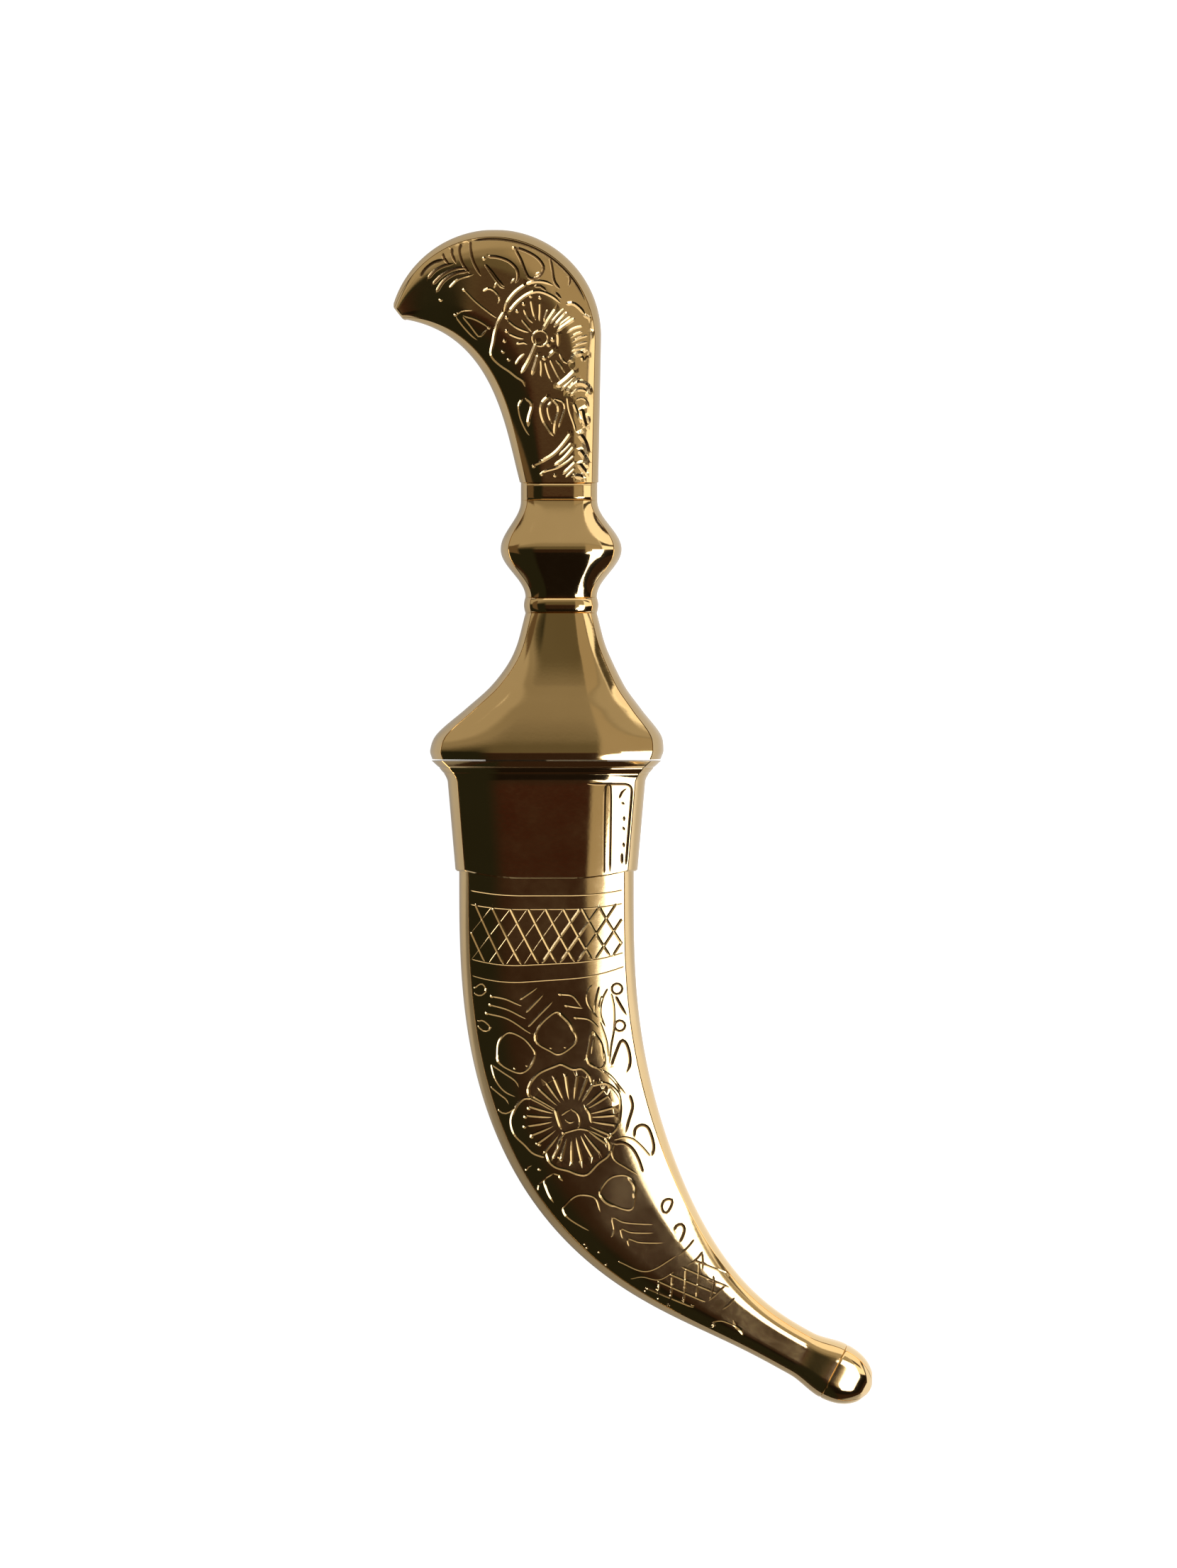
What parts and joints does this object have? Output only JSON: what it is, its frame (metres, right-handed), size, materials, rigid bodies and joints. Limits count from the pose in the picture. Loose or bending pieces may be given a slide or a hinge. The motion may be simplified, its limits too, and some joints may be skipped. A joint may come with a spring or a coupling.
{
  "type": "sheathed curved dagger",
  "caption": "Gold-coloured curved dagger of the khanjar type in an engraved metal scabbard, with a hooked grip and a bell-shaped guard.",
  "frame": {"origin": "under the middle of the object's own box, on the plane that it lies on", "axes": "+Z is the engraved front, +Y runs from the scabbard up the hilt, and +X is the side that the scabbard's tip bends to"},
  "size_m": [0.0946, 0.232, 0.02],
  "materials": {
    "engraved_brass": "polished and hand engraved",
    "polished_brass": "mirror polished",
    "blade_steel": "ground along its length",
    "liner_wood": "plain sawn",
    "filler_wood": "plain",
    "fastener_steel": "plain"
  },
  "bodies": {
    "scabbard": {"scabbard_front": "engraved_brass", "scabbard_back": "engraved_brass", "locket": "polished_brass", "mouth_plate": "polished_brass", "liner_front": "liner_wood", "liner_back": "liner_wood", "finial": "polished_brass"},
    "dagger": {"blade": "blade_steel", "guard_plate": "polished_brass", "bell": "polished_brass", "neck_ring": "polished_brass", "knop": "polished_brass", "grip_ring": "polished_brass", "grip_front": "engraved_brass", "grip_back": "engraved_brass", "grip_core": "filler_wood", "tang_washer": "fastener_steel", "tang_nut": "fastener_steel"}
  },
  "joints": [
    {"name": "draw", "type": "hinge", "parent": "scabbard", "child": "dagger", "pos_m": [0.14209, -0.00433, 0.01], "axis": [0, 0, -1], "range_deg": [0, 38]}
  ]
}
